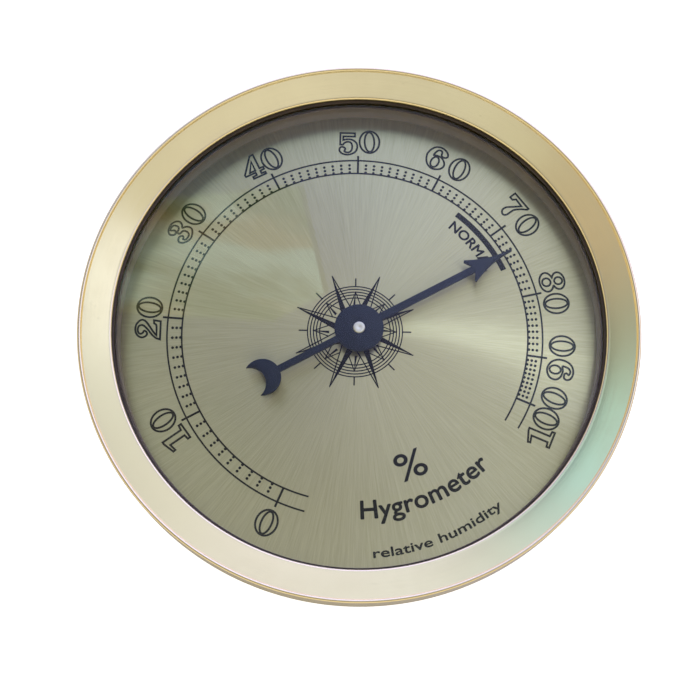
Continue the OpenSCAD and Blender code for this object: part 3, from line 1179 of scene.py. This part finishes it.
    def lettering(self) -> bpy.types.Object:
        """The words on the dial."""
        sheet = self.sheet("dial_lettering")
        wording = (
            Wording("NORMAL", 5.65, 0.94, 0.07),
            Wording("%", 2.7, 2.5, 0.04),
            Wording("Hygrometer", 12.9, 1.62, 0.09),
            Wording("relative humidity", 12.6, 0.8, 0.06),
        )
        normal, percent, name, kind = wording
        radius, start = 13.77, 62.2
        normal.place(sheet, lambda x, y: bearing(
            start + math.degrees((x + normal.width / 2) / radius), radius + y))
        percent.place(sheet, lambda x, y: (x, -14.85 + y))
        for words, base, shift in ((name, 17.6, 0.35), (kind, 21.1, 0.0)):
            words.place(sheet, lambda x, y, base=base, shift=shift: bearing(
                180 - math.degrees((x + shift) / base), base - y))
        return sheet.made()


@dataclass
class Wording:
    """A word in the plain built-in face, fitted to a width and height, with a stroke along its rim."""

    text: str
    width: float
    height: float
    weight: float

    def place(self, sheet: Sheet, move: Any) -> None:
        """Puts the word on a print.

        Args:
            sheet: the print.
            move: bends a point of the straight word, centred on its width, to its place.
        """
        curve = bpy.data.curves.new("wording", "FONT")
        curve.body = self.text
        curve.align_x = "CENTER"
        curve.resolution_u = 4
        mesh = meshed(curve)
        xs = [v.co.x for v in mesh.vertices]
        ys = [v.co.y for v in mesh.vertices]
        wide = self.width / (max(xs) - min(xs))
        middle = (max(xs) + min(xs)) / 2
        tall = self.height / max(ys)
        for vertex in mesh.vertices:
            vertex.co.x = (vertex.co.x - middle) * wide
            vertex.co.y *= tall
        sides = Counter(key for face in mesh.polygons for key in face.edge_keys)
        for ends in (key for key, faces in sides.items() if faces == 1):
            sheet.ribbon([move(*mesh.vertices[k].co.xy) for k in ends], self.weight)
        sheet.mesh_in(mesh, move)


# --------------------------------------------------------------- the movement


@dataclass
class Hand:
    """Pointer and the end of the spindle that carries it."""

    reading: float = 83.2
    hub: float = 2.28
    bore: float = 0.55
    low: float = -0.35
    top: float = 0.0
    edge: float = 0.045
    length: float = 16.4
    shaft: float = 0.33
    tail_shaft: float = 0.32
    weight_middle: float = 10.05
    weight: float = 1.73
    bite_middle: float = 11.38
    bite: float = 1.53
    staff_top: float = 0.12

    def build(self) -> None:
        """Makes the pointer and the spindle."""
        settle(self.pointer(), POINTER_BLACK, Body.SPINDLE, "pointer")
        settle(self.staff(), SPINDLE_METAL, Body.SPINDLE, "spindle")

    def outline(self) -> list[Point]:
        """Returns the pointer's outline, pointing along +Y."""
        barb = self.length - 4.65
        half = []
        for k in range(17):
            t = k / 16
            half.append((0.11 + 1.09 * (1 - t) ** 2.1, barb + 0.12 + (self.length - barb - 0.2) * t))
        right = [(self.shaft + 0.02, math.sqrt(self.hub ** 2 - (self.shaft + 0.02) ** 2)),
                 (self.shaft, self.length - 4.15), (1.04, barb), *half]
        gap = self.bite_middle - self.weight_middle
        drop = (self.weight ** 2 - self.bite ** 2 + gap ** 2) / (2 * gap)
        horn = math.sqrt(self.weight ** 2 - drop ** 2)
        horn_angle = math.degrees(math.atan2(-drop, horn))
        neck = math.degrees(math.acos(self.tail_shaft / self.weight))
        bite_angle = math.degrees(math.atan2(gap - drop, horn))
        base = math.degrees(math.asin(self.tail_shaft / self.hub))
        crest = math.degrees(math.asin((self.shaft + 0.02) / self.hub))
        mirrored = [(-x, y) for x, y in reversed(right)]
        return [
            *right,
            (0.0, self.length),
            *mirrored,
            *arc(0, 0, self.hub, 90 + crest, 270 - base, 40)[1:],
            *arc(0, -self.weight_middle, self.weight, 180 - neck, 180 - horn_angle, 20),
            *arc(0, -self.bite_middle, self.bite, 180 - bite_angle, bite_angle, 24)[1:-1],
            *arc(0, -self.weight_middle, self.weight, horn_angle, neck, 20),
            *arc(0, 0, self.hub, -90 + base, 90 - crest, 40)[:-1],
        ]

    def pointer(self) -> bpy.types.Object:
        """Stamped pointer with rounded edges and a bore for the spindle."""
        curve = bpy.data.curves.new("pointer_hand", "CURVE")
        curve.dimensions = "2D"
        curve.fill_mode = "BOTH"
        for line in (self.outline(), arc(0, 0, self.bore, 0, 352.5, 47)):
            spline = curve.splines.new("POLY")
            spline.points.add(len(line) - 1)
            for point, (x, y) in zip(spline.points, line):
                point.co = (x, y, 0, 1)
            spline.use_cyclic_u = True
        curve.extrude = (self.top - self.low) / 2 - self.edge
        curve.bevel_depth = self.edge
        curve.bevel_resolution = 2
        curve.offset = -self.edge
        mesh = meshed(curve)
        mesh.name = "pointer_hand"
        mesh.transform(
            Matrix.Scale(MM, 4)
            @ Matrix.Translation((0, 0, (self.top + self.low) / 2))
            @ Matrix.Rotation(-math.radians(self.reading), 4, "Z"))
        closed_up(mesh, 0.002, 50)
        return evened(linked("pointer_hand", mesh))

    def staff(self) -> bpy.types.Object:
        """Spindle with a rounded end that stands proud of the pointer."""
        low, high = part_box("spindle")
        radius = high.x / MM
        ease = 0.1
        return lathe("spindle_staff", [
            (0, low.z / MM), (radius - 0.05, low.z / MM), (radius, low.z / MM + 0.05),
            *arc(radius - ease, self.staff_top - ease, ease, 0, 80, 6),
            (0.12, self.staff_top), (0.06, self.staff_top - 0.03), (0, self.staff_top - 0.035),
        ], 64)


@dataclass
class Movement:
    """Coil, adjuster, plates and screws behind the dial."""

    coil_inner: float = 1.63
    coil_outer: float = 7.0
    coil_turns: float = 6.0
    coil_strip: float = 0.16
    coil_width: float = 3.2
    coil_low: float = -6.23
    coil_start: float = 10.0
    steps_per_turn: int = 48

    def build(self) -> None:
        """Makes the coil and dresses the rest of the movement."""
        settle(self.coil(), COIL_LAMINATE, Body.ADJUSTER, "hygro_coil")
        for node, name, width, finish, body in (
            ("rear_cover", "vented_cover", 0.08, COVER_BRASS, Body.CASE),
            ("cover_screws", "rear_screws", 0.05, SCREW_STEEL, Body.CASE),
            ("plate_screws", "front_screws", 0.05, SCREW_STEEL, Body.CASE),
            ("adjuster_screw", "slotted_adjuster", 0.06, ADJUSTER_BRASS, Body.ADJUSTER),
            ("anchor_arm", "coil_anchor", 0.05, SPRING_STEEL, Body.ADJUSTER),
        ):
            settle(eased(node, name, width), finish, body, node)
        for node in ("dial_feet", "movement_plate", "front_bush", "movement_pillars", "friction_washer",
                     "rear_bush", "coil_rivets", "coil_collet", "pointer_collet"):
            finish = SPRING_STEEL if node == "friction_washer" else MOVEMENT_BRASS
            for holder in FRAME["nodes"][node].material_slots:
                holder.material = finish.material()
            LOG.info("%s dressed in %s", node, finish.name)

    def coil(self) -> bpy.types.Object:
        """Spiral strip swept along its rule by a pattern."""
        pattern = Pattern("coil_pattern", COIL_LAMINATE, {
            "Inner Radius": self.coil_inner * MM, "Outer Radius": self.coil_outer * MM,
            "Turns": self.coil_turns, "Strip": self.coil_strip * MM, "Width": self.coil_width * MM,
            "Height": (self.coil_low + self.coil_width / 2) * MM, "Start": math.radians(self.coil_start)})
        graph = pattern.graph
        last = int(self.coil_turns * self.steps_per_turn) + 2
        line = graph.node("GeometryNodeMeshLine", {}, {"Count": last + 1, "Offset": (0.0, 0.0, 0.0)})
        turn = graph.node("GeometryNodeInputIndex") / float(self.steps_per_turn)
        growth = (pattern.given("Outer Radius") - pattern.given("Inner Radius")) / pattern.given("Turns")
        radius = pattern.given("Inner Radius") + growth * turn
        radius = radius.maths("MINIMUM", pattern.given("Outer Radius"))
        angle = turn * FULL_TURN + pattern.given("Start")
        place = graph.joined(
            radius * angle.maths("COSINE"), radius * angle.maths("SINE"), pattern.given("Height"))
        line = graph.node("GeometryNodeSetPosition", {}, {"Geometry": line, "Position": place})
        path = graph.node("GeometryNodeMeshToCurve", {}, {"Mesh": line})
        section = graph.node("GeometryNodeCurvePrimitiveQuadrilateral", {}, {
            "Width": pattern.given("Strip"), "Height": pattern.given("Width")})
        strip = graph.node("GeometryNodeCurveToMesh", {}, {
            "Curve": path, "Profile Curve": section, "Fill Caps": True})
        pattern.finished(strip)
        made = pattern.run(seeds("hygro_spiral", [(0.0, 0.0, 0.0)], [0.0]))
        closed_up(made.data)
        return made


# ------------------------------------------------------------------ the studio


@dataclass
class Studio:
    """Floor, lights, surroundings and camera."""

    turn: float = math.radians(-21.4)
    floor_level: float = -9.56
    floor_size: float = 900.0
    ambient_low: Colour = (0.17, 0.13, 0.03)
    ambient_high: Colour = (1.30, 1.34, 2.5)
    overhead_low: Colour = (0.06, 0.045, 0.005)
    overhead_high: Colour = (0.80, 0.83, 1.6)
    lean: Point = (0.50, 0.87)
    lean_reach: float = 0.20
    far_reach: float = 0.60
    under_glass: tuple[str, ...] = (
        "dial_disc", "scale_lines", "scale_ticks", "scale_dots", "scale_figures", "compass_rose",
        "dial_lettering", "pointer_hand", "spindle_staff", "spacer_wall")
    horizon: Colour = (1.0, 0.92, 0.72)
    card_height: float = 100.0
    card_image: tuple[Point, ...] = ((-5.2, 13.4), (-2.8, 3.4), (-8.0, 0.6), (-23.0, 1.2), (-23.0, 11.0))
    card_tones: tuple[Colour, ...] = ((0.3, 0.55, 0.05), (2.1, 2.9, 2.4), (1.5, 1.1, 0.35))
    card_frame: Point = (0.225, 4.98)
    middle: Point = (0.01, 0.30)
    inner: Point = (0.10, 0.18)
    outer: Point = (0.31, 0.44)
    rim: Point = (0.68, 0.95)
    focal_length: float = 63.05
    camera_place: Place = (-14.61, -32.54, 107.49)
    camera_turn: Place = (17.28, -0.43, -21.53)
    eye: Point = (1.73, 35.6)
    eye_height: float = 116.0
    walls: tuple[tuple[float, Colour], ...] = (
        (0, (0.41, 0.45, 0.43)), (12, (0.64, 0.57, 0.47)), (32, (0.62, 0.565, 0.47)),
        (45, (0.69, 0.70, 0.62)), (75, (0.79, 0.82, 0.80)), (105, (0.85, 0.86, 0.82)),
        (135, (0.81, 0.82, 0.77)), (150, (0.71, 0.71, 0.61)), (156, (0.73, 0.73, 0.65)),
        (163, (1.20, 1.32, 1.60)), (182, (1.17, 1.29, 1.55)), (196, (0.86, 0.96, 1.12)),
        (210, (0.81, 0.90, 1.04)), (228, (0.84, 0.92, 1.07)), (250, (0.97, 1.05, 1.36)),
        (288, (0.94, 1.06, 1.37)), (300, (0.62, 0.82, 1.03)), (312, (0.54, 0.93, 1.24)),
        (335, (0.55, 0.95, 1.14)), (346, (0.40, 0.50, 0.48)), (360, (0.41, 0.45, 0.43)),
    )

    def build(self) -> None:
        """Makes the studio."""
        bpy.context.scene.view_settings.view_transform = "Standard"
        self.surroundings()
        self.card()
        self.floor()
        self.lights()
        self.camera()

    def turned(self, x: float, y: float) -> Point:
        """Turns a direction from the viewer's upright to the dial's frame."""
        c, s = math.cos(self.turn), math.sin(self.turn)
        return x * c - y * s, x * s + y * c

    def upright(self, x: Any, y: Any) -> tuple[Any, Any]:
        """Turns a direction or a place from the dial's frame to the viewer's upright."""
        c, s = math.cos(self.turn), math.sin(self.turn)
        return x * c + y * s, y * c - x * s

    def surroundings(self) -> None:
        """Room around the instrument: a dim ceiling overhead, walls and windows around it."""
        world = bpy.data.worlds.new("soft_room")
        bpy.context.scene.world = world
        graph = blank(world)
        x, y, _ = graph.axes(graph.node("ShaderNodeTexCoord", output="Generated"))
        x, y = self.upright(x, y)
        dx, dy = x - self.middle[0], y - self.middle[1]
        distance = (dx * dx + dy * dy) ** 0.5
        around = dy.maths("ARCTAN2", dx) / FULL_TURN + 0.5
        stops = [(angle / 360, tone) for angle, tone in self.walls]
        walls = graph.node("ShaderNodeValToRGB", {"stops": stops}, {0: around})
        lean = dx * self.lean[0] + dy * self.lean[1]
        near, far = self.lean_reach, self.far_reach
        overhead = graph.mix(lean.ease(-near, near), self.overhead_low, self.overhead_high)
        ambient = graph.mix(lean.ease(-far, far), self.ambient_low, self.ambient_high)
        colour = graph.mix(distance.ease(*self.inner), overhead, walls)
        colour = graph.mix(distance.ease(*self.outer), colour, ambient)
        colour = graph.mix(distance.ease(*self.rim), colour, self.horizon)
        shade = graph.node("ShaderNodeBackground", {}, {"Color": colour, "Strength": 1.0})
        graph.node("ShaderNodeOutputWorld", {}, {"Surface": shade})

    def panel(self, name: str, paint: str, outline: Sequence[Place]) -> tuple[bpy.types.Object, Graph]:
        """Puts up a flat piece of the studio with an empty material.

        Args:
            name: the piece's name.
            paint: its material's name.
            outline: its corners in millimetres.

        Returns:
            The piece and its material's graph.
        """
        mesh = bpy.data.meshes.new(name)
        points = [tuple(v * MM for v in corner) for corner in outline]
        mesh.from_pydata(points, [], [tuple(range(len(points)))])
        material = bpy.data.materials.new(paint)
        mesh.materials.append(material)
        return linked(name, mesh), blank(material)

    def card(self) -> None:
        """Coloured card over the dial that only the lens mirrors, at its left."""
        outline = []
        for x, y in self.card_image:
            dx, dy = ((v + w) / self.eye_height for v, w in zip((x, y), self.eye))
            rise = self.card_height / math.sqrt(1 - dx * dx - dy * dy)
            x, y = self.turned(x + dx * rise, y + dy * rise)
            outline.append((x, y, self.card_height))
        card, graph = self.panel("mirrored_card", "coloured_card", outline)
        x, y, _ = graph.place()
        across, up = self.upright(x, y)
        cloud = graph.noise(graph.joined(across * 0.05, up * 0.15 + across * 0.04, 0.3), 1.0, 3.0, 0.6)
        stain = graph.noise(graph.joined(across * 0.04, up * 0.1, 7.7), 1.0, 2.0, 0.5)
        slope, edge = self.card_frame
        frame = (across + up * slope).ease(edge - 0.7, edge - 1.1)
        shade, light, warm = self.card_tones
        colour = graph.mix(cloud.ease(0.36, 0.62), shade, graph.mix(stain.ease(0.45, 0.6), light, warm))
        graph.node("ShaderNodeOutputMaterial", {}, {
            "Surface": graph.node("ShaderNodeEmission", {}, {"Color": colour, "Strength": frame})})
        card.visible_camera = card.visible_diffuse = False
        card.visible_shadow = card.visible_transmission = False
        glass = bpy.data.collections.new("the_glass")
        glass.objects.link(bpy.data.objects["sight_glass"])
        card.light_linking.receiver_collection = glass
        card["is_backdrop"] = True

    def floor(self) -> None:
        """Plain pale floor under the instrument."""
        half, level = self.floor_size, self.floor_level
        floor, graph = self.panel("studio_floor", "pale_floor", [
            (-half, -half, level), (half, -half, level), (half, half, level), (-half, half, level)])
        vector = graph.spot()
        paper = graph.noise(vector, 300.0, 3.0, 0.6)
        seen = graph.node("ShaderNodeLightPath", output="Is Camera Ray")
        under = graph.node("ShaderNodeNewGeometry", output="Backfacing")
        pale = graph.node("ShaderNodeBsdfPrincipled", {}, {
            "Base Color": graph.mix(paper, (0.60, 0.60, 0.60), (0.64, 0.64, 0.64)), "Roughness": 0.7,
            "Emission Color": (1.0, 1.0, 1.0), "Emission Strength": seen * 0.85 + 0.05})
        clear = graph.node("ShaderNodeBsdfTransparent")
        graph.node("ShaderNodeOutputMaterial", {}, {
            "Surface": graph.node("ShaderNodeMixShader", {}, {0: under, 1: pale, 2: clear})})
        floor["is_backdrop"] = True

    def lamp(
        self, name: str, direction: Place, distance: float, size: float, power: float,
        colour: Colour, spread: float = 180.0, target: Point = (0.0, 0.0)
    ) -> bpy.types.Object:
        """Hangs one area light.

        Args:
            name: its name.
            direction: where it lies, seen upright by the viewer.
            distance: how far off, in millimetres.
            size: its diameter in millimetres.
            power: its power in watts.
            colour: its colour.
            spread: its cone in degrees.
            target: the point of the dial it faces, seen upright by the viewer.

        Returns:
            The lamp.
        """
        light = bpy.data.lights.new(name, "AREA")
        light.shape = "DISK"
        light.size = size * MM
        light.energy = power
        light.color = colour
        light.spread = math.radians(spread)
        x, y = self.turned(direction[0], direction[1])
        way = Vector((x, y, direction[2])).normalized()
        aim = Vector((*self.turned(*target), 0.0))
        lamp = linked(name, light)
        lamp.location = (aim + way * distance) * MM
        lamp.rotation_euler = way.to_track_quat("Z", "Y").to_euler()
        return lamp

    def lights(self) -> None:
        """Soft key light over the dial, and a narrow one that draws the brushed ray."""
        lit = bpy.data.collections.new("under_the_glass")
        for name in self.under_glass:
            lit.objects.link(bpy.data.objects[name])
        key = self.lamp("key_light", (0.13, 0.34, 1.0), 420.0, 100.0, 0.0205, (1.0, 0.93, 0.62))
        ray = self.lamp(
            "ray_light", (0.08, -0.42, 0.9), 300.0, 15.0, 0.0002, (0.70, 0.76, 1.0), 6.0, (12.0, -1.0))
        for lamp in (key, ray):
            lamp.light_linking.receiver_collection = lit

    def camera(self) -> None:
        """Camera over the dial, a little below its middle."""
        data = bpy.data.cameras.new("view_camera")
        data.lens = self.focal_length
        data.sensor_width = 36.0
        data.clip_start = 1 * MM
        data.clip_end = 10.0
        camera = linked("view_camera", data)
        camera.location = Vector(self.camera_place) * MM
        camera.rotation_euler = Euler([math.radians(a) for a in self.camera_turn])
        bpy.context.scene.camera = camera


def corners() -> list[list[float]]:
    """Returns the whole object's box as plain lists."""
    return [list(map(float, corner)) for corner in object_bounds()]


def main() -> None:
    """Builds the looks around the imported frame."""
    logging.basicConfig(level=logging.INFO, format="%(message)s")
    FRAME.update(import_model())
    Case().build()
    Dial().build()
    Hand().build()
    Movement().build()
    Studio().build()


if __name__ == "__main__":
    main()
